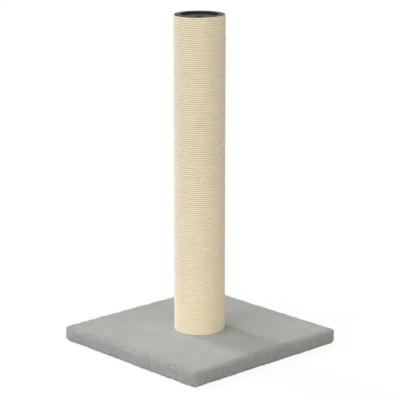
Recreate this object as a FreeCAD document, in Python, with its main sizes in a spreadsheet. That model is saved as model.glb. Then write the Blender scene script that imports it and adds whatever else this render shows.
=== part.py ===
import FreeCAD, Part
import math
import os
import Sketcher
from FreeCAD import Placement, Rotation, Vector

# A cat scratching post: a plush-covered square board, and on it a cardboard tube wound with sisal rope.
# A furniture bolt from below screws into a nut in the tube's lower plug. The upper cap holds a second
# nut, for an extension. +Z is up, and the origin is on the floor, on the axis of the post.

# name, size in millimetres or degrees, what it is
SIZES = [
    ("base_side", 350.0, "width and depth of the base, over its plush"),
    ("board_thickness", 22.0, "chipboard of the base"),
    ("board_corner_radius", 8.0, "corners of the board, seen from above"),
    ("board_edge_bevel", 3.5, "bevel along the board's upper and lower edges"),
    ("plush_thickness", 3.0, "plush with its pile pressed down"),
    ("plush_edge_round", 10.0, "how softly the plush goes round the edges and corners of the base"),
    ("plush_hole_room", 4.0, "between the bolt and the hole cut for it in the plush"),
    ("hem_width", 42.0, "how far the plush reaches in under the board"),
    ("mitre_gap", 6.0, "open V between two folded hems, at its wide end"),
    ("staple_width", 12.0, "crown of a hem staple"),
    ("staple_leg", 8.0, "leg of a staple, crown included"),
    ("staple_wire_width", 1.2, "flat wire of a staple, across"),
    ("staple_wire_depth", 0.6, "flat wire of a staple, thickness"),
    ("staple_sink", 1.2, "how deep a crown presses into the hem"),
    ("staple_inset", 9.0, "from the hem's raw edge to the crowns"),
    ("staple_spacing", 70.0, "from one staple to the next along a side"),
    ("staple_fit_gap", 0.05, "room round a staple's wire"),
    ("tube_bore", 72.0, "inside diameter of the cardboard tube"),
    ("tube_wall", 6.0, "wall of the cardboard tube"),
    ("tube_length", 570.0, "length of the cardboard tube"),
    ("rope_diameter", 3.2, "sisal rope"),
    ("turn_gap", 0.5, "gap between one turn and the next"),
    ("rope_seat_gap", 0.1, "between the rope and what it lies on"),
    ("rope_lie_gap", 0.3, "between the winding and the plush or the cap"),
    ("rope_start_angle", 217.0, "where the rope starts at the foot of the post, counted from +X"),
    ("rope_end_angle", 57.0, "where it ends under the cap, counted from +X"),
    ("butt_length", 20.0, "piece of the next turn that a rope's inner end butts on"),
    ("cap_rim_inset", 0.8, "from the outside of the rope to the cap's rim"),
    ("plug_rim_inset", 0.2, "from the outside of the tube to the plug's rim"),
    ("rim_thickness", 1.0, "rim of cap and plug"),
    ("cap_rim_bevel", 0.4, "bevel of the cap's rim, above"),
    ("dish_depth", 4.0, "recess in the middle of cap and plug"),
    ("floor_thickness", 2.4, "floor of the recess"),
    ("skirt_wall", 2.3, "wall of the skirt that enters the tube"),
    ("skirt_length", 24.0, "how far the skirt enters the tube"),
    ("skirt_gap", 0.4, "between the skirt and the tube"),
    ("crush_rib_gap", 0.05, "between the skirt's ribs and the tube"),
    ("crush_rib_width", 1.6, "a rib on the skirt"),
    ("crush_rib_relief", 3.0, "how far the ribs stop short of both ends of the skirt"),
    ("web_thickness", 1.8, "a web from the nut's boss to the skirt"),
    ("web_height", 9.0, "depth of the webs under the floor"),
    ("boss_wall", 2.4, "wall round the nut's corners"),
    ("boss_reach", 5.5, "how far the boss reaches past the nut"),
    ("nut_flats", 13.0, "M8 nut, across its flats"),
    ("nut_height", 6.5, "height of the nut"),
    ("nut_fit_gap", 0.1, "room round the nut in its pocket"),
    ("nut_ledge", 0.5, "ledge that holds the nut, at the middle of its flats"),
    ("bolt_diameter", 8.0, "M8 bolt, plain shank"),
    ("bolt_room", 0.5, "between the bolt and its hole in the board"),
    ("bolt_overshoot", 3.1, "end of the bolt past its nut"),
    ("thread_depth", 0.6, "from the outside of the thread to its core"),
    ("thread_fit_gap", 0.05, "between the cores of the bolt's thread and of the nut's"),
    ("head_diameter", 16.0, "flat head of the bolt"),
    ("head_height", 4.4, "height of that head"),
    ("head_sink", 1.6, "how deep the head lies inside the board"),
    ("socket_flats", 5.0, "hexagon socket in the head, across its flats"),
    ("socket_depth", 2.6, "depth of the socket"),
    ("washer_diameter", 24.0, "flat washer"),
    ("washer_thickness", 2.0, "thickness of the washer"),
    ("washer_fit_gap", 0.2, "between the washer and the bolt"),
    ("washer_room", 2.0, "between the washer and the wall of its recess"),
]

STAPLES_ON_A_SIDE = 4
TURNS_AT_EACH_END = 5
TURN_BIARC_COUNT = 4
ROPE_SIDES = 5
CRUSH_RIB_COUNT = 6
WEB_COUNT = 6

doc = FreeCAD.newDocument("scratching_post")
sheet = doc.addObject("Spreadsheet::Sheet", "Sizes")
for row, (alias, value, meaning) in enumerate(SIZES, start=1):
    sheet.set(f"A{row}", meaning)
    sheet.set(f"B{row}", str(value))
    sheet.setAlias(f"B{row}", alias)
doc.recompute()

# Lengths that several pieces share, as expressions on the sheet.
BOARD_SIDE = "(Sizes.base_side - 2 * Sizes.plush_thickness)"
BASE_HEIGHT = "(Sizes.board_thickness + 2 * Sizes.plush_thickness)"
TUBE_RADIUS = "(Sizes.tube_bore / 2 + Sizes.tube_wall)"
TUBE_BOTTOM = f"({BASE_HEIGHT} + Sizes.rim_thickness)"
TUBE_TOP = f"({TUBE_BOTTOM} + Sizes.tube_length)"
POST_TOP = f"({TUBE_TOP} + Sizes.rim_thickness)"
PITCH = "(Sizes.rope_diameter + Sizes.turn_gap)"
ROPE_INSIDE = f"({TUBE_RADIUS} + Sizes.rope_seat_gap)"
ROPE_OUTSIDE = f"({ROPE_INSIDE} + Sizes.rope_diameter)"
WINDING_BOTTOM = f"({BASE_HEIGHT} + Sizes.rope_lie_gap)"
WINDING_TOP = f"({TUBE_TOP} - Sizes.rope_lie_gap)"
END_TURNS_HEIGHT = f"({TURNS_AT_EACH_END} * {PITCH} + Sizes.rope_diameter + Sizes.rope_seat_gap)"
SLEEVE_BOTTOM = f"({WINDING_BOTTOM} + {END_TURNS_HEIGHT})"
SLEEVE_TOP = f"({WINDING_TOP} - {END_TURNS_HEIGHT})"
SKIRT_OUTSIDE = "(Sizes.tube_bore / 2 - Sizes.skirt_gap)"
SKIRT_INSIDE = f"({SKIRT_OUTSIDE} - Sizes.skirt_wall)"
FLOOR_UNDERSIDE = "(Sizes.dish_depth + Sizes.floor_thickness)"
NUT_POCKET = "(Sizes.nut_flats + 2 * Sizes.nut_fit_gap)"
BOSS_RADIUS = f"({NUT_POCKET} / sqrt(3) + Sizes.boss_wall)"
SHANK_RADIUS = "(Sizes.bolt_diameter / 2)"
CORE_RADIUS = f"({SHANK_RADIUS} - Sizes.thread_depth)"
HEAD_TOP = "(Sizes.plush_thickness + Sizes.head_sink + Sizes.head_height)"
WASHER_TOP = f"({HEAD_TOP} + Sizes.washer_thickness)"

probe = doc.addObject("App::FeaturePython", "Probe")
probe.addProperty("App::PropertyFloat", "Result")


def number(expression):
    """The value of an expression on the sheet."""
    probe.setExpression("Result", expression)
    probe.recompute()
    return probe.Result


def bind(thing, **expressions):
    """Binds properties to expressions. Two underscores stand for a dot in a property's name."""
    for name, text in expressions.items():
        thing.setExpression(name.replace("__", "."), text)
    return thing


def combine(kind, name, *shapes):
    """A boolean of two or more shapes."""
    result = doc.addObject(f"Part::{kind}", name)
    if kind == "Cut":
        result.Base, result.Tool = shapes
    else:
        result.Shapes = list(shapes)
    return result


def cylinder(name, radius, low, high):
    """An upright cylinder on the axis of the post, between two heights."""
    made = doc.addObject("Part::Cylinder", name)
    return bind(made, Radius=radius, Height=f"{high} - {low}", Placement__Base__z=low)


# ---- sketches and features of a body


def new_sketch(body, name, role, height=None):
    """A sketch on one of the body's own planes, lifted off it by an expression."""
    sketch = body.newObject("Sketcher::SketchObject", name)
    plane = next(each for each in body.Origin.OriginFeatures if each.Role == role)
    sketch.AttachmentSupport = (plane, [""])
    sketch.MapMode = "FlatFace"
    if height:
        sketch.setExpression("AttachmentOffset.Base.z", height)
    return sketch


def drive(sketch, constraint, expression):
    """Adds a constraint whose value follows an expression."""
    index = sketch.addConstraint(constraint)
    sketch.setExpression(f"Constraints[{index}]", expression)


def draw_outline(sketch, points):
    """Draws a closed outline. Each point is a pair of expressions, and a regular polygon is the first guess."""
    count = len(points)
    first = sketch.GeometryCount
    guess = [Rotation(Vector(0, 0, 1), 360 * k / count).multVec(Vector(1, 0, 0)) for k in range(count)]
    for k in range(count):
        sketch.addGeometry(Part.LineSegment(guess[k], guess[(k + 1) % count]))
    for k in range(count):
        following = first + (k + 1) % count
        sketch.addConstraint(Sketcher.Constraint("Coincident", first + k, 2, following, 1))
    for k, (x, y) in enumerate(points):
        drive(sketch, Sketcher.Constraint("DistanceX", -1, 1, first + k, 1, guess[k].x), x)
        drive(sketch, Sketcher.Constraint("DistanceY", -1, 1, first + k, 1, guess[k].y), y)


def draw_circle(sketch, radius):
    """Draws a circle round the sketch's origin."""
    index = sketch.addGeometry(Part.Circle(Vector(0, 0, 0), Vector(0, 0, 1), 1))
    sketch.addConstraint(Sketcher.Constraint("Coincident", index, 3, -1, 1))
    drive(sketch, Sketcher.Constraint("Radius", index, 1.0), radius)


def draw_hexagon(sketch, flats):
    """Draws a regular hexagon round the sketch's origin, with two corners on its X axis."""
    corner = f"{flats} / sqrt(3)"
    draw_outline(sketch, [(f"{corner} * cos({60 * k} deg)", f"{corner} * sin({60 * k} deg)") for k in range(6)])


def draw_block(sketch, near, far, half_width):
    """Draws a rectangle along the sketch's X axis, from one distance to another."""
    draw_outline(sketch, [(far, half_width), (near, half_width), (near, f"-{half_width}"), (far, f"-{half_width}")])


def feature(body, kind, name, sketch, backwards=False, **expressions):
    """A Pad or Pocket on a sketch. A pad goes up from it and a pocket down, unless backwards."""
    made = body.newObject(f"PartDesign::{kind}", name)
    made.Profile = sketch
    made.Reversed = backwards
    return bind(made, **expressions)


def revolve(body, name, points):
    """Turns a closed outline of (radius, height) pairs round the body's Z axis."""
    sketch = new_sketch(body, f"{name}_outline", "XZ_Plane")
    draw_outline(sketch, points)
    made = body.newObject("PartDesign::Revolution", name)
    made.Profile = sketch
    made.ReferenceAxis = (sketch, ["V_Axis"])
    made.Angle = 360
    return made


def dress(body, kind, name, base, wanted, **expressions):
    """A Fillet or Chamfer on those edges of a feature that the test picks."""
    doc.recompute()
    names = [f"Edge{k}" for k, edge in enumerate(base.Shape.Edges, start=1) if wanted(edge.BoundBox)]
    made = body.newObject(f"PartDesign::{kind}", name)
    made.Base = (base, names)
    return bind(made, **expressions)


def all_round(body, name, original, count):
    """Repeats a feature round the Z axis."""
    made = body.newObject("PartDesign::PolarPattern", name)
    made.Originals = [original]
    made.Axis = (original.Profile[0], ["N_Axis"])
    made.Angle = 360
    made.Occurrences = count
    body.Tip = made
    return made


# ---- base


def square_slab(name, side, low, thickness):
    """A body with a square slab in it."""
    body = doc.addObject("PartDesign::Body", name)
    sketch = new_sketch(body, f"{name}_square", "XY_Plane", low)
    draw_block(sketch, f"-({side} / 2)", f"({side} / 2)", f"({side} / 2)")
    return body, feature(body, "Pad", f"{name}_pad", sketch, Length=thickness)


def is_upright(box):
    """Whether the edge in this box runs up and down."""
    return box.ZLength > box.DiagonalLength / 2


def is_level(box):
    """Whether the edge in this box lies level."""
    return not is_upright(box)


def board_blank(name):
    """The board without its holes: a slab with rounded corners and bevelled edges."""
    body, slab = square_slab(name, BOARD_SIDE, "Sizes.plush_thickness", "Sizes.board_thickness")
    corners = dress(body, "Fillet", f"{name}_corners", slab, is_upright, Radius="Sizes.board_corner_radius")
    dress(body, "Chamfer", f"{name}_bevels", corners, is_level, Size="Sizes.board_edge_bevel")
    return body


def hem_opening():
    """The window between the four hems, with a V along the mitre at each of its corners."""
    body = doc.addObject("PartDesign::Body", "hem_opening")
    sketch = new_sketch(body, "hem_edges", "XY_Plane")
    edge = "(Sizes.base_side / 2 - Sizes.hem_width)"
    near = f"({edge} - Sizes.mitre_gap / sqrt(2))"
    tip = f"({BOARD_SIDE} / 2 - Sizes.board_corner_radius)"
    one_corner = [(edge, near), (tip, tip), (near, edge)]
    points = []
    for _ in range(4):
        points += one_corner
        one_corner = [(f"-{y}", x) for x, y in one_corner]
    draw_outline(sketch, [(x.replace("--", ""), y.replace("--", "")) for x, y in points])
    feature(body, "Pad", "hem_opening_pad", sketch, Length="Sizes.plush_thickness")
    return body


def staples_all_round(name, room, low):
    """The staples of all four hems or, with room round their wire, the slots that they lie in."""
    width = number("Sizes.staple_wire_width") + 2 * room
    depth = number("Sizes.staple_wire_depth") + 2 * room
    crown = number("Sizes.staple_width") + 2 * room
    crown_top = number("Sizes.staple_sink + Sizes.staple_wire_depth") + room
    leg_top = number("Sizes.staple_sink + Sizes.staple_leg") + room
    leg_middle = number("(Sizes.staple_width - Sizes.staple_wire_depth) / 2")
    row = -number("Sizes.base_side / 2 - Sizes.hem_width + Sizes.staple_inset")
    spacing = number("Sizes.staple_spacing")
    staple = Part.makeBox(crown, width, crown_top - low, Vector(-crown / 2, row - width / 2, low))
    for middle in (-leg_middle, leg_middle):
        leg = Part.makeBox(depth, width, leg_top - low, Vector(middle - depth / 2, row - width / 2, low))
        staple = staple.fuse(leg)
    staple = staple.removeSplitter()
    copies = []
    for quarter in range(4):
        for k in range(STAPLES_ON_A_SIDE):
            copy = staple.copy()
            copy.translate(Vector((k - (STAPLES_ON_A_SIDE - 1) / 2) * spacing, 0, 0))
            copy.rotate(Vector(0, 0, 0), Vector(0, 0, 1), 90 * quarter)
            copies.append(copy)
    made = doc.addObject("Part::Feature", name)
    made.Shape = Part.makeCompound(copies)
    return made


def make_base():
    """The board, the plush folded round it, and the staples that hold the hem."""
    slots = staples_all_round("staple_slots", number("Sizes.staple_fit_gap"), 0.0)
    staples = staples_all_round("hem_staples", 0.0, number("Sizes.staple_sink"))

    blank = board_blank("board_blank")
    hole = new_sketch(blank, "bolt_hole_circle", "XY_Plane", "Sizes.plush_thickness")
    draw_circle(hole, f"{SHANK_RADIUS} + Sizes.bolt_room")
    feature(blank, "Pocket", "bolt_hole", hole, True, Length="Sizes.board_thickness")
    recess = new_sketch(blank, "washer_recess_circle", "XY_Plane", "Sizes.plush_thickness")
    draw_circle(recess, "Sizes.washer_diameter / 2 + Sizes.washer_room")
    feature(blank, "Pocket", "washer_recess", recess, True, Length=f"{WASHER_TOP} - Sizes.plush_thickness")
    board = combine("Cut", "base_board", blank, slots)

    outside, slab = square_slab("plush_outside", "Sizes.base_side", "0", BASE_HEIGHT)
    dress(outside, "Fillet", "plush_edges", slab, lambda box: True, Radius="Sizes.plush_edge_round")
    bolt_way = cylinder(
        "plush_hole", f"{SHANK_RADIUS} + Sizes.plush_hole_room", "Sizes.plush_thickness", BASE_HEIGHT
    )
    hollow = combine("MultiFuse", "plush_hollow", board_blank("plush_inside"), hem_opening(), bolt_way, slots)
    cover = combine("Cut", "base_plush_cover", outside, hollow)
    return [board, cover, staples]


# ---- plugs and fasteners


def end_plug(name, rim):
    """A moulded tube plug. Its outer face is at height 0, and its skirt, boss and webs point down.
    The rim is the outline of its edge, from the outer face down, as (radius, height) pairs."""
    body = doc.addObject("PartDesign::Body", name)
    hole = "(Sizes.nut_flats / 2 - Sizes.nut_ledge)"
    dish = "-Sizes.dish_depth"
    skirt_end = "-(Sizes.rim_thickness + Sizes.skirt_length)"
    under_floor = f"-{FLOOR_UNDERSIDE}"
    boss_end = f"-({FLOOR_UNDERSIDE} + Sizes.nut_height + Sizes.boss_reach)"
    revolve(
        body,
        f"{name}_shell",
        [
            (hole, dish),
            (SKIRT_INSIDE, dish),
            (SKIRT_INSIDE, "0"),
            *rim,
            (SKIRT_OUTSIDE, "-Sizes.rim_thickness"),
            (SKIRT_OUTSIDE, skirt_end),
            (SKIRT_INSIDE, skirt_end),
            (SKIRT_INSIDE, under_floor),
            (BOSS_RADIUS, under_floor),
            (BOSS_RADIUS, boss_end),
            (hole, boss_end),
        ],
    )
    pocket = new_sketch(body, f"{name}_nut_outline", "XY_Plane", boss_end)
    draw_hexagon(pocket, NUT_POCKET)
    feature(
        body, "Pocket", f"{name}_nut_pocket", pocket, True, Length="Sizes.nut_height + Sizes.boss_reach"
    )
    inside_boss_wall = f"({BOSS_RADIUS} - Sizes.boss_wall / 2)"
    inside_skirt_wall = f"({SKIRT_INSIDE} + Sizes.skirt_wall / 2)"
    web = new_sketch(body, f"{name}_web_outline", "XY_Plane", under_floor)
    draw_block(web, inside_boss_wall, inside_skirt_wall, "(Sizes.web_thickness / 2)")
    all_round(
        body, f"{name}_webs",
        feature(body, "Pad", f"{name}_web", web, True, Length="Sizes.web_height"), WEB_COUNT,
    )
    rib_top = "-(Sizes.rim_thickness + Sizes.crush_rib_relief)"
    rib = new_sketch(body, f"{name}_rib_outline", "XY_Plane", rib_top)
    rib_face = "(Sizes.tube_bore / 2 - Sizes.crush_rib_gap)"
    draw_block(rib, inside_skirt_wall, rib_face, "(Sizes.crush_rib_width / 2)")
    rib_length = "Sizes.skirt_length - 2 * Sizes.crush_rib_relief"
    all_round(
        body, f"{name}_ribs",
        feature(body, "Pad", f"{name}_rib", rib, True, Length=rib_length), CRUSH_RIB_COUNT,
    )
    return body


def nut(name, low):
    """A hexagon nut, whose bore is the core of its thread."""
    body = doc.addObject("PartDesign::Body", name)
    sketch = new_sketch(body, f"{name}_outline", "XY_Plane")
    draw_hexagon(sketch, "Sizes.nut_flats")
    draw_circle(sketch, CORE_RADIUS)
    feature(body, "Pad", f"{name}_pad", sketch, Length="Sizes.nut_height")
    return bind(body, Placement__Base__z=low)


def make_bolt():
    """A furniture bolt with a flat head. Its thread is drawn at the core diameter."""
    body = doc.addObject("PartDesign::Body", "base_bolt")
    thread = f"({CORE_RADIUS} - Sizes.thread_fit_gap)"
    thread_start = f"({BASE_HEIGHT} + Sizes.dish_depth - {HEAD_TOP})"
    end = f"({BASE_HEIGHT} + {FLOOR_UNDERSIDE} + Sizes.nut_height + Sizes.bolt_overshoot - {HEAD_TOP})"
    head = "(Sizes.head_diameter / 2)"
    revolve(
        body,
        "bolt_blank",
        [
            ("0", "-Sizes.head_height"),
            (head, "-Sizes.head_height"),
            (head, "0"),
            (SHANK_RADIUS, "0"),
            (SHANK_RADIUS, thread_start),
            (thread, thread_start),
            (thread, end),
            ("0", end),
        ],
    )
    socket = new_sketch(body, "bolt_socket_outline", "XY_Plane", "-Sizes.head_height")
    draw_hexagon(socket, "Sizes.socket_flats")
    feature(body, "Pocket", "bolt_socket", socket, True, Length="Sizes.socket_depth")
    return bind(body, Placement__Base__z=HEAD_TOP)


def make_washer():
    """The flat washer between the bolt's head and the board."""
    body = doc.addObject("PartDesign::Body", "bolt_washer")
    sketch = new_sketch(body, "washer_circles", "XY_Plane")
    draw_circle(sketch, "Sizes.washer_diameter / 2")
    draw_circle(sketch, f"{SHANK_RADIUS} + Sizes.washer_fit_gap")
    feature(body, "Pad", "washer_pad", sketch, Length="Sizes.washer_thickness")
    return bind(body, Placement__Base__z=HEAD_TOP)


def make_plugs():
    """The lower plug, turned over to stand on the plush, the upper cap, and the two nuts that they hold."""
    plug_rim = f"{TUBE_RADIUS} - Sizes.plug_rim_inset"
    plug = end_plug("bottom_plug", [(plug_rim, "0"), (plug_rim, "-Sizes.rim_thickness")])
    plug.Placement = Placement(Vector(0, 0, 0), Rotation(Vector(1, 0, 0), 180))
    bind(plug, Placement__Base__z=BASE_HEIGHT)
    cap_rim = f"{ROPE_OUTSIDE} - Sizes.cap_rim_inset"
    bevelled = [(f"{cap_rim} - Sizes.cap_rim_bevel", "0"), (cap_rim, "-Sizes.cap_rim_bevel")]
    cap = end_plug("top_cap", bevelled + [(cap_rim, "-Sizes.rim_thickness")])
    bind(cap, Placement__Base__z=POST_TOP)
    lower_nut = nut("lower_nut", f"{BASE_HEIGHT} + {FLOOR_UNDERSIDE}")
    upper_nut = nut("upper_nut", f"{POST_TOP} - {FLOOR_UNDERSIDE} - Sizes.nut_height")
    nuts = doc.addObject("Part::Compound", "plug_nuts")
    nuts.Links = [lower_nut, upper_nut]
    return [plug, cap, nuts]


# ---- post


def make_tube():
    """The cardboard tube, which stands on the plug's rim and carries the cap's."""
    body = doc.addObject("PartDesign::Body", "post_tube")
    sketch = new_sketch(body, "tube_circles", "XY_Plane")
    draw_circle(sketch, TUBE_RADIUS)
    draw_circle(sketch, "Sizes.tube_bore / 2")
    feature(body, "Pad", "tube_pad", sketch, Length="Sizes.tube_length")
    return bind(body, Placement__Base__z=TUBE_BOTTOM)


def butt_box(name, angle, low, along):
    """A box on the radius at that angle, set off along the turn, which marks a piece of a turn."""
    box = doc.addObject("Part::Box", name)
    return bind(
        box,
        Length=f"{ROPE_OUTSIDE} + Sizes.rope_diameter",
        Width="Sizes.butt_length",
        Height="2 * Sizes.rope_diameter",
        Placement__Base__x=f"-({along}) * sin({angle} * 1 deg)",
        Placement__Base__y=f"({along}) * cos({angle} * 1 deg)",
        Placement__Base__z=low,
        Placement__Rotation__Angle=angle,
    )


def make_sleeve():
    """The middle of the winding as a plain sleeve. A short piece of a turn stands out of each of its ends,
    and there the rope's inner end butts on it squarely."""
    ring = combine(
        "Cut", "winding_ring",
        cylinder("winding_outside", ROPE_OUTSIDE, WINDING_BOTTOM, WINDING_TOP),
        cylinder("winding_inside", ROPE_INSIDE, WINDING_BOTTOM, WINDING_TOP),
    )
    span = combine(
        "MultiFuse", "sleeve_span",
        cylinder("sleeve_middle", f"{ROPE_OUTSIDE} + Sizes.rope_diameter", SLEEVE_BOTTOM, SLEEVE_TOP),
        butt_box(
            "lower_butt", "Sizes.rope_start_angle", f"{SLEEVE_BOTTOM} - Sizes.rope_diameter",
            "Sizes.rope_diameter",
        ),
        butt_box(
            "upper_butt", "Sizes.rope_end_angle", f"{SLEEVE_TOP} - Sizes.rope_diameter",
            "-(Sizes.rope_diameter + Sizes.butt_length)",
        ),
    )
    return combine("MultiCommon", "sisal_sleeve", ring, span)


def helix_point(turns):
    """A point of the rope's centre line at the foot of the post, and the direction there."""
    radius = number(f"{ROPE_INSIDE} + Sizes.rope_diameter / 2")
    low = number(f"{WINDING_BOTTOM} + Sizes.rope_diameter / 2")
    pitch = number(PITCH)
    angle = math.radians(number("Sizes.rope_start_angle")) + 2 * math.pi * turns
    place = Vector(radius * math.cos(angle), radius * math.sin(angle), low + pitch * turns)
    way = Vector(-2 * math.pi * radius * math.sin(angle), 2 * math.pi * radius * math.cos(angle), pitch)
    return place, way.normalize()


def arc_between(start, corner, end):
    """The arc from start to end whose tangents there meet in the corner."""
    middle = (start + end) * 0.5
    weight = (end - start).Length / (2 * (corner - start).Length)
    top = middle + (corner - middle) * (weight / (1 + weight))
    return Part.Arc(start, top, end).toShape()


def biarc(start, start_way, end, end_way):
    """Two arcs that join smoothly, and leave and arrive in the given directions."""
    chord = end - start
    along = chord.dot(start_way + end_way)
    turn = 2 * (1 - start_way.dot(end_way))
    reach = (math.sqrt(along ** 2 + turn * chord.dot(chord)) - along) / turn
    first_corner = start + start_way * reach
    second_corner = end - end_way * reach
    joint = (first_corner + second_corner) * 0.5
    return [arc_between(start, first_corner, joint), arc_between(joint, second_corner, end)]


def least_gap(path, diameter):
    """The smallest gap between one turn and another, measured on points of the centre line."""
    step = diameter / 2
    points = path.discretize(Distance=step)
    half_turn = int(math.pi * number(ROPE_INSIDE) / step)
    nearest = min((a - b).Length for k, a in enumerate(points) for b in points[k + half_turn:])
    return nearest - diameter


def rope_coil():
    """The turns at the foot of the post, as one unbroken tube with straight ends, one diameter long."""
    diameter = number("Sizes.rope_diameter")
    steps = TURNS_AT_EACH_END * TURN_BIARC_COUNT
    stations = [helix_point(k / TURN_BIARC_COUNT) for k in range(steps + 1)]
    start, start_way = stations[0]
    end, end_way = stations[-1]
    tail = start - start_way * diameter
    edges = [Part.makeLine(tail, start)]
    for (a, a_way), (b, b_way) in zip(stations, stations[1:]):
        edges += biarc(a, a_way, b, b_way)
    edges.append(Part.makeLine(end, end + end_way * diameter))
    path = Part.Wire(edges)
    print(f"least gap between turns of rope: {least_gap(path, diameter):.2f} mm")

    outward = Vector(start.x, start.y, 0).normalize()
    corner = start_way.cross(outward) * (diameter / 2)
    rim = [Rotation(start_way, 360 * k / ROPE_SIDES).multVec(corner) + tail for k in range(ROPE_SIDES)]
    return path.makePipeShell([Part.makePolygon(rim + rim[:1])], True, False)


def make_rope_turns():
    """The turns at the foot and, turned over about the middle of the winding, those under the cap."""
    lower = rope_coil()
    upper = lower.copy()
    angle = math.radians(number("(Sizes.rope_start_angle + Sizes.rope_end_angle) / 2"))
    middle = Vector(0, 0, number(f"({WINDING_BOTTOM} + {WINDING_TOP}) / 2"))
    upper.rotate(middle, Vector(math.cos(angle), math.sin(angle), 0), 180)
    made = doc.addObject("Part::Feature", "sisal_rope_turns")
    made.Shape = Part.makeCompound([lower, upper])
    return made


pieces = make_base() + make_plugs() + [make_bolt(), make_washer(), make_tube(), make_sleeve(), make_rope_turns()]
doc.recompute()
failed = [each.Name for each in doc.Objects if {"Invalid", "Error"} & set(each.State)]
if failed:
    raise RuntimeError(f"these objects failed: {failed}")
for piece in pieces:
    if piece.Shape.isNull() or not piece.Shape.isValid():
        raise RuntimeError(f"{piece.Name} has no valid shape")
os.makedirs("parts", exist_ok=True)
for piece in pieces:
    piece.Label = piece.Name
    piece.Shape.exportStep(f"parts/{piece.Label}.step")
    print(f"{piece.Label}: {len(piece.Shape.Solids)} solids, {piece.Shape.Volume / 1000:.1f} cm3")
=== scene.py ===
import math

import bpy
import numpy as np
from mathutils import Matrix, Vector, noise


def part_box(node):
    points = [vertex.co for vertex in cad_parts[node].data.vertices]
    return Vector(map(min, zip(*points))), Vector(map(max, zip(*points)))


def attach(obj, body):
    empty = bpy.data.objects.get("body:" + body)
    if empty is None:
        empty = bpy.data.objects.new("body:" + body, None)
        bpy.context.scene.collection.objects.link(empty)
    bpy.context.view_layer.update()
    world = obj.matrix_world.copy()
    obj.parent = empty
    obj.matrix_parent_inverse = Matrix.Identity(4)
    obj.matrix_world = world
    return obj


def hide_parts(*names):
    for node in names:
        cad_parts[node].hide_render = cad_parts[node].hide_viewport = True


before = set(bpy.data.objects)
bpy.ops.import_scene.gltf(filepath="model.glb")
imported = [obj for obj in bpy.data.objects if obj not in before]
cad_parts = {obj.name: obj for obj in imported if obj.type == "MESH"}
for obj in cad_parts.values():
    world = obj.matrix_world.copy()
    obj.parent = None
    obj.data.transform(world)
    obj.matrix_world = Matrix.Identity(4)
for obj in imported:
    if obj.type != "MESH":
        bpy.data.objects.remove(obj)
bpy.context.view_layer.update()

# A cat scratching post: a tube wound with sisal rope, upright on a square base covered in plush.
# Lengths are in metres and angles in degrees. Colours are linear red, green and blue.

# ---- camera, fitted to the edges of the base and the post in the photo

CAMERA_AZIMUTH = 46.993
CAMERA_TURN = -0.015
CAMERA_PITCH = 14.147
CAMERA_DISTANCE = 2.926
CAMERA_HEIGHT = 1.0044
CAMERA_LENS_MM = 152.2
SENSOR_WIDTH_MM = 36.0

# ---- light: the world's strength and the floor's colour as the object gets them

WORLD_LIGHT = 0.29
FLOOR_BOUNCE = 0.75
FLOOR_SIDE = 24.0
FLOOR_WHITE = 0.95
FLOOR_GLOW = 0.92  # how much of the seen floor is plain white; the rest takes the shadow
# name, azimuth from +X, elevation, strength, width of the sun, colour
SUNS = [
    ("key", 180, 48, 1.14, 9, (0.98, 1.00, 1.06)),
    ("left", 225, 40, 0.86, 60, (0.93, 1.00, 1.16)),
    ("front", 280, 30, 1.32, 60, (1.00, 1.00, 1.02)),
    ("right", 350, 25, 0.88, 60, (1.05, 1.00, 0.92)),
]

# ---- colours: each material's darker tone, then its paler one

SISAL_TONES = ((0.95, 0.82, 0.57), (0.98, 0.89, 0.66))
# painted shade: the colour deep in the rope's grooves between its turns
SISAL_PAINTED_GROOVE_SHADE = (0.83, 0.74, 0.60)
PLUSH_TONES = ((0.342, 0.342, 0.313), (0.380, 0.380, 0.348))
# painted highlight: the pile's tufts are drawn paler than the cover, as lit specks
PILE_PAINTED_HIGHLIGHT = 1.18  # the pile's single tufts next to the cover
PLASTIC_TONES = ((0.014, 0.011, 0.009), (0.020, 0.016, 0.013))
ZINC_TONES = ((0.50, 0.51, 0.53), (0.66, 0.67, 0.68))
CARDBOARD_TONES = ((0.42, 0.29, 0.17), (0.52, 0.38, 0.24))
CHIP_TONES = ((0.30, 0.19, 0.095), (0.50, 0.35, 0.19), (0.66, 0.50, 0.30))

# ---- winding

ROPE_FULLNESS = 0.0004  # how far it stands out past its CAD solids
ROPE_RISES = 0.0021  # how far its last turn climbs past them, beside the cap's rim
ROPE_SINKS = 0.0015  # how far its first turn goes down past them, into the plush
ROPE_CLEARANCE = 0.0001
TUBE_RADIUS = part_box("post_tube")[1].x
ROPE_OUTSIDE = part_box("sisal_sleeve")[1].x + ROPE_FULLNESS
WINDING_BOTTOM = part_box("sisal_rope_turns")[0].z - ROPE_SINKS
WINDING_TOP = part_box("sisal_rope_turns")[1].z + ROPE_RISES
RIM_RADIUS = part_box("top_cap")[1].x
RIM_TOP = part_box("top_cap")[1].z
RIM_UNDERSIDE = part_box("post_tube")[1].z

ROPE_START_ANGLE = 217.0
ROPE_END_ANGLE = 57.0
ROPE_PITCH = 0.0037
ROPE_SQUASH = 2.5  # the power of the section's curve, which is 2 for an ellipse
ROPE_STEP = 0.0014  # between the rings of the mesh
TURN_OVERLAP = 1.04
STRANDS = 3
STRAND_SHAPE = (1.0, 0.975, 0.94, 0.975)  # from a strand's crest to the next one's
STRAND_ROUGHNESS = 0.011
STRAND_LAY = 0.0240  # the length of rope in which its strands go round once
ROPE_SWELL = 0.015  # how far its thickness varies, as a share
SWELL_REACH = 0.02
ROPE_DRIFT = 0.00006  # how far it strays up and down
DRIFT_REACH = 0.11
WINDING_SEED = 11
WINDING_BANDS = 4

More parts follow.
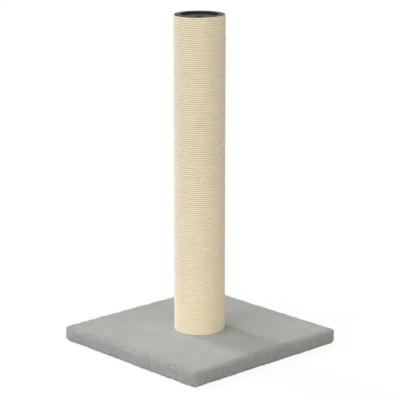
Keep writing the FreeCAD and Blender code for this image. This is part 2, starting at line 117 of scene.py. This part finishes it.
ROPE_HALF_HEIGHT = TURN_OVERLAP * ROPE_PITCH / 2
ROPE_HALF_DEPTH = (ROPE_OUTSIDE - TUBE_RADIUS) / 2
ROPE_MIDDLE = (ROPE_OUTSIDE + TUBE_RADIUS) / 2
WINDING_RISE = WINDING_TOP - WINDING_BOTTOM - 2 * ROPE_HALF_HEIGHT
PART_TURN = ((ROPE_END_ANGLE - ROPE_START_ANGLE) % 360) / 360
ROPE_TURNS = round(WINDING_RISE / ROPE_PITCH - PART_TURN) + PART_TURN
ROPE_LENGTH = 2 * math.pi * ROPE_MIDDLE * ROPE_TURNS
ROPE_RINGS = int(ROPE_LENGTH / ROPE_STEP) + 1
RING_CORNERS = STRANDS * len(STRAND_SHAPE)

# ---- loose sisal fibres

HAIRS = 1800
FLYAWAYS = HAIRS // 10
HAIR_SEED = 23
HAIR_MARGIN = 0.004  # from both ends of the winding
HAIR_ROOT_DEPTH = 0.0006
HAIR_LIFT = (0.1, 0.8)  # outward, next to how far it goes sideways
FLYAWAY_LIFT = (0.8, 2.5)
HAIR_SLANT = 0.7
HAIR_DROOP = 0.3
HAIR_LENGTH = 0.004
HAIR_LENGTH_VARIES = 0.016
HAIR_WIDTHS = (0.00006, 0.00015)
HAIR_LINKS = 4
OFF_AXIS = (0.3, 0.2, 1.0)  # a direction that no fibre follows

# ---- plush cover

BASE_LOW, BASE_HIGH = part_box("base_plush_cover")
BASE_MIDDLE = (BASE_LOW.z + BASE_HIGH.z) / 2
PLUSH_EDGE_ROUND = 0.009
PLUSH_TOP_ROUND = 0.0055
PLUSH_THICKNESS = 0.003
PLUSH_GRID = 0.0016
FLAT_ENOUGH = 0.99  # a skin point that faces up or down this much is on the top or the hem
BOLT_ROOM = 0.008  # radius of the hole for the bolt
# smooth noise: how many waves to a metre, and how high they stand
PLUSH_WAVES = ((28, 0.0005),)
PLUSH_CLUMPS = ((190, 0.0004), (420, 0.0003))
TUFTS_TO_A_METRE = 170
TUFT_STRETCH = 0.35  # tufts on the sides are finer across than up and down
SIDE_TUFTS = ((1.0, 0.0011), (0.45, 0.0007))  # how fine next to TUFTS_TO_A_METRE, and how high
TOP_RISE = 0.0004
TOP_SINK = 0.0002
SIDE_SINK = 0.0006
FLOOR_CLEARANCE = 0.0001
FOOT_PRESS = 0.0030  # how far from the rope's outside the pile is pressed down or pushed up
FOOT_BULGE = 0.0007

HEM_WIDTH = 0.042
HEM_INSIDE = BASE_HIGH.x - HEM_WIDTH
HEM_LIFT = 0.0002
HEM_CLUMPS = 0.5  # how much of the clumps' height the hem keeps
CUT_EDGE_GAP = 0.0001
STAPLE_HALF_WIRE = 0.0006
STAPLE_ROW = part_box("hem_staples")[1].x - STAPLE_HALF_WIRE
STAPLE_SPACING = 0.070
STAPLES_ON_A_SIDE = 4
STAPLE_WIDTH = 0.012
STAPLE_DENT = 0.0021
DENT_FLOOR = 0.0012  # how far from a staple its dent stays at full depth
DENT_SLOPE = 0.0035
MITRE_DENT = 0.0028
MITRE_GAP = 0.0006  # half the mitre's width at the corner
MITRE_OPENING = 0.0025  # what is added to that half at the hem's inner edge
MITRE_SLOPE = 0.003

# ---- pile

PILE_TUFTS = 36000
PILE_SEED = 5
PILE_BORDER = 0.022
PILE_THINNING = 1.5  # the power with which it thins out across the border
PILE_LOWEST = 0.0015
PILE_SCATTER = 0.0008
PILE_ROOT_DEPTH = 0.0004
PILE_SPREAD = 0.45
PILE_DROOP = 0.25
PILE_LENGTHS = (0.0010, 0.0026)
PILE_WIDTH = 0.00012
PILE_WIDTH_VARIES = 0.00040


# ---- node materials


def new_material(name, **constants):
    """A Principled material. Constants are socket names with underscores for spaces."""
    made = bpy.data.materials.new(name)
    made.use_nodes = True
    shader = made.node_tree.nodes["Principled BSDF"]
    for socket, value in constants.items():
        shader.inputs[socket.replace("_", " ")].default_value = value
    return made, made.node_tree, shader


def add_node(tree, kind, inputs=None, **settings):
    """Adds a node. Its inputs are values or the sockets that feed them."""
    made = tree.nodes.new(f"ShaderNode{kind}")
    for name, value in settings.items():
        setattr(made, name, value)
    for name, value in (inputs or {}).items():
        if isinstance(value, bpy.types.NodeSocket):
            tree.links.new(value, made.inputs[name])
        else:
            made.inputs[name].default_value = value
    return made


def stretched(tree, vector, stretch):
    """A vector with each of its parts stretched."""
    return add_node(tree, "Mapping", {"Vector": vector, "Scale": stretch}).outputs["Vector"]


def place(tree, stretch=(1, 1, 1)):
    """Object coordinates in metres, stretched."""
    return stretched(tree, add_node(tree, "TexCoord").outputs["Object"], stretch)


def above_floor(tree):
    """Height over the floor in metres."""
    return add_node(tree, "SeparateXYZ", {"Vector": place(tree)}).outputs["Z"]


def stored(tree, name, output):
    """What the mesh's points keep under a name."""
    return add_node(tree, "Attribute", attribute_name=name).outputs[output]


def speckle(tree, vector, scale, detail=3.0):
    """Noise round 0.5."""
    inputs = {"Vector": vector, "Scale": scale, "Detail": detail, "Roughness": 0.55}
    return add_node(tree, "TexNoise", inputs).outputs["Fac"]


def ramp(tree, value, *stops):
    """Colours along a value. Each stop is a place and a colour."""
    made = add_node(tree, "ValToRGB", {"Fac": value})
    elements = made.color_ramp.elements
    while len(elements) < len(stops):
        elements.new(0.5)
    for element, (where, colour) in zip(elements, stops):
        element.position = where
        element.color = (*colour, 1.0)
    return made.outputs["Color"]


def mottle(tree, value, first, second):
    """From one colour to another over the range where most of a noise lies."""
    return ramp(tree, value, (0.3, first), (0.7, second))


def grey(value):
    return (value, value, value)


def times(tree, first, second):
    """One colour times another."""
    inputs = {"Fac": 1.0, "Color1": first, "Color2": second}
    return add_node(tree, "MixRGB", inputs, blend_type="MULTIPLY").outputs["Color"]


def bump(tree, shader, *layers):
    """Stacks bumps. Each layer is a height and its depth in metres."""
    normal = None
    for height, depth in layers:
        inputs = {"Height": height, "Distance": depth, "Strength": 1.0}
        if normal:
            inputs["Normal"] = normal
        normal = add_node(tree, "Bump", inputs).outputs["Normal"]
    tree.links.new(normal, shader.inputs["Normal"])


def sisal(name, wound):
    """Pale cream sisal, with painted light that makes it lighter towards the foot of the post. On
    the wound rope the fibres run along it, and painted shade darkens its grooves.
    """
    made, tree, shader = new_material(
        name, Roughness=0.6, Sheen_Weight=0.5, Specular_IOR_Level=0.25
    )
    if wound:
        strand = stored(tree, "strand", "Vector")
        fibre_place = stretched(tree, strand, (5, 5, 260))
        patch_place = stretched(tree, strand, (0.25, 0.25, 14))
        groove = stored(tree, "groove", "Fac")
        # painted shade: darker deep in the grooves between the turns
        groove_painted_shade = ramp(tree, groove, (0.62, grey(1.0)), (0.95, SISAL_PAINTED_GROOVE_SHADE))
    else:
        fibre_place = place(tree, (200, 200, 200))
        patch_place = place(tree, (20, 20, 20))
        groove_painted_shade = (1, 1, 1, 1)
    fibres = speckle(tree, fibre_place, 1.0)
    patches = speckle(tree, patch_place, 1.0, 2.0)
    height = above_floor(tree)
    # painted light: lighter towards the foot of the post, darker higher up it
    painted_light_by_height = ramp(tree, height, (0.05, grey(1.0)), (0.14, grey(0.89)), (0.37, grey(0.825)))
    colour = times(tree, mottle(tree, patches, *SISAL_TONES), painted_light_by_height)
    colour = times(tree, colour, groove_painted_shade)
    streaks = ramp(tree, fibres, (0.25, grey(0.90)), (0.5, grey(0.98)), (0.75, grey(1.0)))
    tree.links.new(times(tree, colour, streaks), shader.inputs["Base Color"])
    bump(tree, shader, (fibres, 0.0003))
    return made


def plush(name, painted_paleness):
    """Light grey short-pile plush with a brushed nap, with painted shade that makes it a little
    darker low on its sides. Its paler copy for the pile's tufts is a painted highlight.
    """
    made, tree, shader = new_material(
        name, Roughness=1.0, Sheen_Weight=0.35, Sheen_Roughness=0.6, Specular_IOR_Level=0.1
    )
    tufts = speckle(tree, place(tree), 900.0, 2.0)
    clumps = speckle(tree, place(tree), 260.0)
    nap = speckle(tree, place(tree), 22.0, 2.0)
    # painted shade: darker low on the sides, near the floor
    painted_low_shade = ramp(tree, above_floor(tree), (0.020, grey(0.94)), (0.027, grey(1.0)))
    colour = times(tree, mottle(tree, nap, *PLUSH_TONES), painted_low_shade)
    # for the pile's tufts this is also a painted highlight: they are drawn paler
    shade = mottle(tree, clumps, grey(0.86 * painted_paleness), grey(painted_paleness))
    tree.links.new(times(tree, colour, shade), shader.inputs["Base Color"])
    bump(tree, shader, (clumps, 0.0009), (tufts, 0.0004))
    return made


def black_plastic():
    """Satin black moulding with a faint grain."""
    made, tree, shader = new_material("black_plastic", Specular_IOR_Level=0.18)
    grain = speckle(tree, place(tree), 900.0, 2.0)
    wear = speckle(tree, place(tree), 60.0, 4.0)
    tree.links.new(mottle(tree, wear, grey(0.45), grey(0.60)), shader.inputs["Roughness"])
    tree.links.new(mottle(tree, wear, *PLASTIC_TONES), shader.inputs["Base Color"])
    bump(tree, shader, (grain, 0.00005))
    return made


def zinc():
    """Zinc-plated steel, with faint blotches."""
    made, tree, shader = new_material("zinc", Metallic=1.0)
    blotches = speckle(tree, place(tree), 240.0, 4.0)
    tree.links.new(mottle(tree, blotches, *ZINC_TONES), shader.inputs["Base Color"])
    tree.links.new(mottle(tree, blotches, grey(0.42), grey(0.28)), shader.inputs["Roughness"])
    bump(tree, shader, (speckle(tree, place(tree, (1, 1, 8)), 900.0), 0.00003))
    return made


def chipboard():
    """Pressed wood chips, in flakes of several tones."""
    made, tree, shader = new_material("chipboard", Roughness=0.85)
    flakes = add_node(tree, "TexVoronoi", {"Vector": place(tree, (1, 2.4, 1)), "Scale": 190.0})
    tone = ramp(tree, flakes.outputs["Color"], *zip((0.2, 0.5, 0.8), CHIP_TONES))
    dust = mottle(tree, speckle(tree, place(tree), 900.0), grey(0.75), grey(1.0))
    tree.links.new(times(tree, tone, dust), shader.inputs["Base Color"])
    bump(tree, shader, (flakes.outputs["Distance"], 0.0004))
    return made


def cardboard():
    """Kraft board with cloudy tones and fine fibres."""
    made, tree, shader = new_material("cardboard", Roughness=0.9)
    fibres = speckle(tree, place(tree, (1, 1, 3)), 500.0, 4.0)
    clouds = speckle(tree, place(tree), 30.0)
    shade = mottle(tree, fibres, grey(0.86), grey(1.0))
    colour = times(tree, mottle(tree, clouds, *CARDBOARD_TONES), shade)
    tree.links.new(colour, shader.inputs["Base Color"])
    bump(tree, shader, (fibres, 0.0001))
    return made


# ---- meshes


def add_object(name, data):
    """A new object in the scene."""
    made = bpy.data.objects.new(name, data)
    bpy.context.scene.collection.objects.link(made)
    return made


def mesh_piece(name, points, faces, material, slot, *replaced):
    """A smooth mesh piece that rides on the post and stands for the CAD nodes that it names."""
    mesh = bpy.data.meshes.new(name)
    mesh.from_pydata(np.asarray(points).tolist(), [], faces)
    mesh.validate()
    mesh.shade_smooth()
    mesh.materials.append(material)
    made = add_object(name, mesh)
    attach(made, "root")
    if replaced:
        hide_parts(*replaced)
    return made


def wander(random, reach):
    """A smooth random line along the rope, between -1 and 1, that turns about every reach."""
    knots = random.uniform(-1, 1, int(ROPE_RINGS * ROPE_STEP / reach) + 3)
    where = np.arange(ROPE_RINGS) * ROPE_STEP / reach
    low = where.astype(int)
    part = where - low
    part = part * part * (3 - 2 * part)
    return knots[low] * (1 - part) + knots[low + 1] * part


def squashed(turned):
    """How far a squashed round section reaches at an angle, next to a circle."""
    power = ROPE_SQUASH
    return (np.abs(np.cos(turned)) ** power + np.abs(np.sin(turned)) ** power) ** (-1 / power)


def rope_rings(along, turned):
    """The rope's rings of corners, on one helix from the foot of the post to its top."""
    random = np.random.default_rng(WINDING_SEED)
    swell = 1 + ROPE_SWELL * wander(random, SWELL_REACH)
    drift = ROPE_DRIFT * wander(random, DRIFT_REACH)
    angle = np.radians(ROPE_START_ANGLE) + 2 * math.pi * ROPE_TURNS * along / ROPE_LENGTH
    outward = np.stack([np.cos(angle), np.sin(angle), np.zeros(ROPE_RINGS)], axis=1)
    centre = outward * ROPE_MIDDLE
    centre[:, 2] = WINDING_BOTTOM + ROPE_HALF_HEIGHT + WINDING_RISE * along / ROPE_LENGTH + drift
    size = squashed(turned) * np.tile(STRAND_SHAPE, STRANDS)[None, :] * swell[:, None]
    size *= random.normal(1, STRAND_ROUGHNESS, size.shape)
    reach = ROPE_HALF_DEPTH * size * np.cos(turned)
    points = centre[:, None, :] + reach[:, :, None] * outward[:, None, :]
    points[:, :, 2] += ROPE_HALF_HEIGHT * size * np.sin(turned)
    return points


def clear_the_cap(points):
    """Keeps the rope's corners below the cap's rim, and those beside the rim below its top."""
    under_rim = np.hypot(points[:, :, 0], points[:, :, 1]) < RIM_RADIUS + ROPE_CLEARANCE
    ceiling = np.where(under_rim, RIM_UNDERSIDE, RIM_TOP - ROPE_CLEARANCE)
    points[:, :, 2] = np.minimum(points[:, :, 2], ceiling)


def rope_piece(name, points, material):
    """A length of rope, closed at both ends."""
    corner = np.arange(points.shape[0] * points.shape[1]).reshape(points.shape[:2])
    following = np.roll(corner, -1, axis=1)
    quads = np.stack([corner[:-1], following[:-1], following[1:], corner[1:]], axis=-1)
    faces = quads.reshape(-1, 4).tolist()
    faces.append(corner[0, ::-1].tolist())
    faces.append(corner[-1].tolist())
    return mesh_piece(
        name, points.reshape(-1, 3), faces, material, "sisal", "sisal_rope_turns", "sisal_sleeve"
    )


def store(piece, name, kind, field, values):
    """Keeps values on the points of a piece, for its material."""
    attribute = piece.data.attributes.new(name, kind, "POINT")
    attribute.data.foreach_set(field, values.astype(np.float32).ravel())


def make_winding(material):
    """The winding of three twisted strands, cut into bands.

    Its points keep where they lie on the rope, and how near they are to the turn beside theirs,
    which the material uses for painted shade in the grooves.
    """
    along = np.linspace(0, ROPE_LENGTH, ROPE_RINGS)
    corner = 2 * math.pi * np.arange(RING_CORNERS) / RING_CORNERS
    turned = corner[None, :] + 2 * math.pi * along[:, None] / STRAND_LAY
    points = rope_rings(along, turned)
    clear_the_cap(points)
    groove = np.abs(np.sin(turned)) * squashed(turned)
    strand = np.empty(points.shape)
    strand[:, :, 0] = np.cos(corner)
    strand[:, :, 1] = np.sin(corner)
    strand[:, :, 2] = along[:, None]

    cuts = np.linspace(0, ROPE_RINGS - 1, WINDING_BANDS + 1).astype(int)
    for number, (first, last) in enumerate(zip(cuts, cuts[1:]), start=1):
        rings = slice(first, last + 1)
        band = rope_piece(f"sisal_winding_{number}", points[rings], material)
        store(band, "strand", "FLOAT_VECTOR", "vector", strand[rings])
        store(band, "groove", "FLOAT", "value", groove[rings])


def unit(vectors):
    """The vectors at length 1."""
    return vectors / np.linalg.norm(vectors, axis=1)[:, None]


def grow(roots, ways, lengths, widths, bends, links):
    """Fibres that bend and taper from their roots, as points and faces.

    Each has three sides along its links, and ends in a tip.
    """
    size = 3 * links + 1
    points = np.empty((len(roots), size, 3))
    here = roots
    way = unit(ways)
    for link in range(links):
        across = unit(np.cross(way, OFF_AXIS))
        over = np.cross(way, across)
        width = (widths * (1 - link / links))[:, None]
        for side in range(3):
            angle = 2 * math.pi * side / 3
            off = width * (math.cos(angle) * across + math.sin(angle) * over)
            points[:, 3 * link + side] = here + off
        here = here + way * (lengths / links)[:, None]
        way = unit(way + bends / links)
    points[:, -1] = here

    pairs = ((0, 1), (1, 2), (2, 0))
    rings = range(0, 3 * (links - 1), 3)
    walls = [(r + a, r + b, r + 3 + b, r + 3 + a) for r in rings for a, b in pairs]
    tips = [(size - 4 + a, size - 4 + b, size - 1) for a, b in pairs]
    first = size * np.arange(len(roots))[:, None, None]
    faces = []
    for shape in filter(None, (walls, tips)):
        faces += (first + np.array(shape)[None]).reshape(-1, len(shape[0])).tolist()
    return points.reshape(-1, 3), faces


def make_sisal_hairs(material):
    """Loose sisal fibres that stand off the winding: most lie close, and a few fly far."""
    random = np.random.default_rng(HAIR_SEED)
    turn = random.uniform(0, 2 * math.pi, HAIRS)
    height = random.uniform(WINDING_BOTTOM + HAIR_MARGIN, WINDING_TOP - HAIR_MARGIN, HAIRS)
    flat = np.zeros(HAIRS)
    outward = np.stack([np.cos(turn), np.sin(turn), flat], axis=1)
    sideways = np.stack([-np.sin(turn), np.cos(turn), flat], axis=1)
    sideways = sideways * random.choice([-1, 1], HAIRS)[:, None]
    lift = random.uniform(*HAIR_LIFT, HAIRS)
    lift[:FLYAWAYS] = random.uniform(*FLYAWAY_LIFT, FLYAWAYS)
    upward = np.array([0, 0, 1.0])
    slant = random.uniform(-HAIR_SLANT, HAIR_SLANT, HAIRS)[:, None]
    ways = sideways + outward * lift[:, None] + upward * slant
    slant = random.uniform(-HAIR_SLANT, HAIR_SLANT, HAIRS)[:, None]
    bends = upward * slant - outward * HAIR_DROOP
    roots = outward * (ROPE_OUTSIDE - HAIR_ROOT_DEPTH)
    roots[:, 2] = height
    lengths = HAIR_LENGTH + HAIR_LENGTH_VARIES * random.random(HAIRS) ** 2
    widths = random.uniform(*HAIR_WIDTHS, HAIRS)
    points, faces = grow(roots, ways, lengths, widths, bends, HAIR_LINKS)
    mesh_piece("sisal_hairs", points, faces, material, "sisal")


def clamp(value, low, high):
    return min(max(value, low), high)


def fades(off, edge, slope):
    """1 up to an edge, and down to 0 over the slope beyond it."""
    return max(0.0, 1 - max(off - edge, 0) / slope)


def ripple(where, waves):
    """The height of smooth noise at a place. Each wave is how fine and how high it is."""
    return sum(noise.noise(where * count) * height for count, height in waves)


def staple_dent(x, y):
    """How deep the hem is drawn in round the nearest staple, from 0 to 1."""
    if abs(x) > abs(y):
        x, y = y, x
    middle = (STAPLES_ON_A_SIDE - 1) / 2
    number = clamp(round(x / STAPLE_SPACING + middle), 0, STAPLES_ON_A_SIDE - 1)
    nearest = (number - middle) * STAPLE_SPACING
    beside = max(abs(x - nearest) - STAPLE_WIDTH / 2, 0)
    return fades(math.hypot(beside, abs(abs(y) - STAPLE_ROW)), DENT_FLOOR, DENT_SLOPE)


def mitre_dent(x, y):
    """How deep the hem's cut on a diagonal is, from 0 to 1. The cut opens towards the middle."""
    off = abs(abs(x) - abs(y)) / math.sqrt(2)
    inward = BASE_HIGH.x - PLUSH_EDGE_ROUND - min(abs(x), abs(y))
    share = clamp(inward / (HEM_WIDTH - PLUSH_EDGE_ROUND), 0, 1)
    return fades(off, MITRE_OPENING * share + MITRE_GAP, MITRE_SLOPE)


def top_rise(x, y, height):
    """How far the top stands over the slab at a place. The post presses its foot into it."""
    out = math.hypot(x, y) - ROPE_OUTSIDE
    free = clamp(out / FOOT_PRESS + 1, 0, 1)
    bulge = FOOT_BULGE * math.exp(-(max(out, 0) / FOOT_PRESS) ** 2)
    return (height + TOP_RISE + bulge) * free - TOP_SINK


def plush_point(x, y, z):
    """Where a point of the plain slab's skin lies on the plush."""
    upright_round = PLUSH_EDGE_ROUND if z < BASE_MIDDLE else PLUSH_TOP_ROUND
    rounds = Vector((PLUSH_EDGE_ROUND, PLUSH_EDGE_ROUND, upright_round))
    limits = zip((x, y, z), BASE_LOW + rounds, BASE_HIGH - rounds)
    core = Vector(clamp(value, low, high) for value, low, high in limits)
    way = Vector((p - c) / r for p, c, r in zip((x, y, z), core, rounds)).normalized()
    skin = core + Vector(w * r for w, r in zip(way, rounds))
    waves = ripple(skin, PLUSH_WAVES)
    clumps = ripple(skin, PLUSH_CLUMPS)
    if way.z < -FLAT_ENOUGH:
        staple = STAPLE_DENT * staple_dent(skin.x, skin.y)
        dent = max(staple, MITRE_DENT * mitre_dent(skin.x, skin.y))
        skin.z = BASE_LOW.z + HEM_LIFT + abs(clumps) * HEM_CLUMPS + dent
        return skin
    if way.z > FLAT_ENOUGH:
        return skin + way * top_rise(skin.x, skin.y, waves + clumps)
    brushed = Vector((skin.x, skin.y, skin.z * TUFT_STRETCH)) * TUFTS_TO_A_METRE
    skin += way * (waves + clumps + ripple(brushed, SIDE_TUFTS) - SIDE_SINK)
    skin.z = max(skin.z, BASE_LOW.z + FLOOR_CLEARANCE)
    return skin


def grid_line(low, high, inner, step):
    """Places from low to high, with one of them exactly at each inner place."""
    stops = [low, *inner, high]
    places = []
    for first, last in zip(stops, stops[1:]):
        count = max(1, round((last - first) / step))
        places += [first + (last - first) * k / count for k in range(count)]
    return places + [high]


def skin_faces(flat, last, top):
    """The faces of the slab's skin, as places on its grid: the top, the hem and the four sides.

    The grid is numbered from 0 to last along both edges of the slab, and from 0 to top upward.
    """
    for i in range(last):
        for j in range(last):
            x = (flat[i] + flat[i + 1]) / 2
            y = (flat[j] + flat[j + 1]) / 2
            if math.hypot(x, y) > BOLT_ROOM:
                yield (i, j, top), (i + 1, j, top), (i + 1, j + 1, top), (i, j + 1, top)
            if max(abs(x), abs(y)) > HEM_INSIDE:
                yield (i, j, 0), (i, j + 1, 0), (i + 1, j + 1, 0), (i + 1, j, 0)
        for k in range(top):
            corners = ((i, k), (i + 1, k), (i + 1, k + 1), (i, k + 1))
            yield [(a, 0, b) for a, b in corners]
            yield [(a, last, b) for a, b in reversed(corners)]
            yield [(0, a, b) for a, b in reversed(corners)]
            yield [(last, a, b) for a, b in corners]


def hem_edge(flat):
    """The places on the grid along the hem's inner edge, in order."""
    low = flat.index(-HEM_INSIDE)
    high = flat.index(HEM_INSIDE)
    there = [(k, low) for k in range(low, high)] + [(high, k) for k in range(low, high)]
    back = range(high, low, -1)
    return there + [(k, high) for k in back] + [(low, k) for k in back]


def make_plush(material):
    """The plush over the top and the sides of the board, folded in under it with a cut edge."""
    flat = grid_line(BASE_LOW.x, BASE_HIGH.x, [-HEM_INSIDE, HEM_INSIDE], PLUSH_GRID)
    tall = grid_line(BASE_LOW.z, BASE_HIGH.z, [], PLUSH_GRID)
    points = []
    number = {}

    def vertex(i, j, k):
        if (i, j, k) not in number:
            number[i, j, k] = len(points)
            points.append(plush_point(flat[i], flat[j], tall[k]))
        return number[i, j, k]

    skin = skin_faces(flat, len(flat) - 1, len(tall) - 1)
    faces = [[vertex(*corner) for corner in face] for face in skin]
    edge = [vertex(i, j, 0) for i, j in hem_edge(flat)]
    lip = range(len(points), len(points) + len(edge))
    under_board = BASE_LOW.z + PLUSH_THICKNESS - CUT_EDGE_GAP
    points += [Vector((points[low].x, points[low].y, under_board)) for low in edge]
    for k, low in enumerate(edge):
        after = (k + 1) % len(edge)
        faces.append([low, edge[after], lip[after], lip[k]])
    piece = mesh_piece("plush_cover", points, faces, material, "plush", "base_plush_cover")
    return piece


def face_values(mesh, name):
    """A vector of every face of a mesh, such as its centre or its normal."""
    values = np.empty(3 * len(mesh.polygons))
    mesh.polygons.foreach_get(name, values)
    return values.reshape(-1, 3)


def make_pile(cover, material):
    """Single tufts of the pile, along the sides of the base and a border of its top."""
    middle = face_values(cover.data, "center")
    inside = BASE_HIGH.x - np.abs(middle[:, :2]).max(axis=1)
    weight = np.clip(1 - inside / PILE_BORDER, 0, 1) ** PILE_THINNING
    weight = weight * (middle[:, 2] > BASE_LOW.z + PILE_LOWEST)
    random = np.random.default_rng(PILE_SEED)
    chosen = random.choice(len(middle), PILE_TUFTS, p=weight / weight.sum())
    out = face_values(cover.data, "normal")[chosen]
    every = (PILE_TUFTS, 3)
    roots = middle[chosen] + random.uniform(-PILE_SCATTER, PILE_SCATTER, every)
    roots = roots - out * PILE_ROOT_DEPTH
    ways = out + random.normal(0, PILE_SPREAD, every) + np.array([0, 0, -PILE_DROOP])
    lengths = random.uniform(*PILE_LENGTHS, PILE_TUFTS)
    widths = PILE_WIDTH + PILE_WIDTH_VARIES * random.random(PILE_TUFTS) ** 4
    points, faces = grow(roots, ways, lengths, widths, np.zeros(every), 1)
    points[:, 2] = np.maximum(points[:, 2], BASE_LOW.z)
    mesh_piece("plush_pile", points, faces, material, "plush")


def finish_cad_nodes(materials):
    """Gives every CAD node that still shows its material."""
    for name, material in materials.items():
        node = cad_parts[name]
        node.data.materials.clear()
        node.data.materials.append(material)


# ---- stage, lights and camera


def larger(tree, first, second):
    """The larger of two values."""
    return add_node(tree, "Math", {0: first, 1: second}, operation="MAXIMUM").outputs[0]


def whether_seen(tree):
    """1 for camera, mirror and glass rays, and 0 for the rays that light other things."""
    path = add_node(tree, "LightPath").outputs
    seen = larger(tree, path["Is Camera Ray"], path["Is Glossy Ray"])
    return larger(tree, seen, path["Is Transmission Ray"])


def make_world():
    """White to the eye, and a weaker light on the object."""
    world = bpy.data.worlds.new("studio")
    bpy.context.scene.world = world
    world.use_nodes = True
    tree = world.node_tree
    background = tree.nodes["Background"]
    background.inputs["Color"].default_value = (1, 1, 1, 1)
    inputs = {"Value": whether_seen(tree), "To Min": WORLD_LIGHT, "To Max": 1.0}
    strength = add_node(tree, "MapRange", inputs)
    tree.links.new(strength.outputs["Result"], background.inputs["Strength"])


def floor_material():
    """White to the eye with a faint shadow, and darker for the light that it throws back."""
    material = bpy.data.materials.new("floor")
    material.use_nodes = True
    tree = material.node_tree
    tree.nodes.clear()
    white = add_node(tree, "BsdfDiffuse", {"Color": (*grey(FLOOR_WHITE), 1)})
    glow = add_node(tree, "Emission", {"Color": (1, 1, 1, 1), "Strength": 1.0})
    bounce = add_node(tree, "BsdfDiffuse", {"Color": (*grey(FLOOR_BOUNCE), 1)})
    inputs = {"Fac": FLOOR_GLOW, 1: white.outputs[0], 2: glow.outputs[0]}
    face = add_node(tree, "MixShader", inputs)
    inputs = {"Fac": whether_seen(tree), 1: bounce.outputs[0], 2: face.outputs[0]}
    mixed = add_node(tree, "MixShader", inputs)
    tree.links.new(mixed.outputs[0], add_node(tree, "OutputMaterial").inputs["Surface"])
    return material


def make_floor():
    """A wide square floor under the base."""
    half = FLOOR_SIDE / 2
    corners = [(-half, -half, 0), (half, -half, 0), (half, half, 0), (-half, half, 0)]
    mesh = bpy.data.meshes.new("floor")
    mesh.from_pydata(corners, [], [(0, 1, 2, 3)])
    floor = add_object("floor", mesh)
    mesh.materials.append(floor_material())


def make_sun(name, azimuth, elevation, strength, width, colour):
    """A sun that shines from a direction counted from +X."""
    lamp = bpy.data.lights.new(name, "SUN")
    lamp.energy = strength
    lamp.color = colour
    lamp.angle = math.radians(width)
    a, e = math.radians(azimuth), math.radians(elevation)
    back = Vector((math.cos(a) * math.cos(e), math.sin(a) * math.cos(e), math.sin(e)))
    add_object(name, lamp).rotation_euler = back.to_track_quat("Z", "Y").to_euler()


def make_camera():
    """The photo's view."""
    data = bpy.data.cameras.new("camera")
    data.lens = CAMERA_LENS_MM
    data.sensor_width = SENSOR_WIDTH_MM
    camera = add_object("camera", data)
    azimuth = math.radians(CAMERA_AZIMUTH)
    across, back = math.sin(azimuth), math.cos(azimuth)
    camera.location = (CAMERA_DISTANCE * across, -CAMERA_DISTANCE * back, CAMERA_HEIGHT)
    heading = azimuth + math.radians(CAMERA_TURN)
    camera.rotation_euler = (math.radians(90 - CAMERA_PITCH), 0, heading)
    bpy.context.scene.camera = camera


make_camera()
make_world()
make_floor()
for sun in SUNS:
    make_sun(*sun)

plastic = black_plastic()
steel = zinc()
make_winding(sisal("sisal", wound=True))
make_sisal_hairs(sisal("sisal_hair", wound=False))
# the pile gets a paler copy of the plush, a painted highlight
make_pile(make_plush(plush("plush", 1.0)), plush("plush_pile", PILE_PAINTED_HIGHLIGHT))
finish_cad_nodes({
    "base_board": chipboard(),
    "hem_staples": steel,
    "bottom_plug": plastic,
    "top_cap": plastic,
    "plug_nuts": steel,
    "base_bolt": steel,
    "bolt_washer": steel,
    "post_tube": cardboard(),
})

bpy.context.scene.view_settings.view_transform = "Standard"
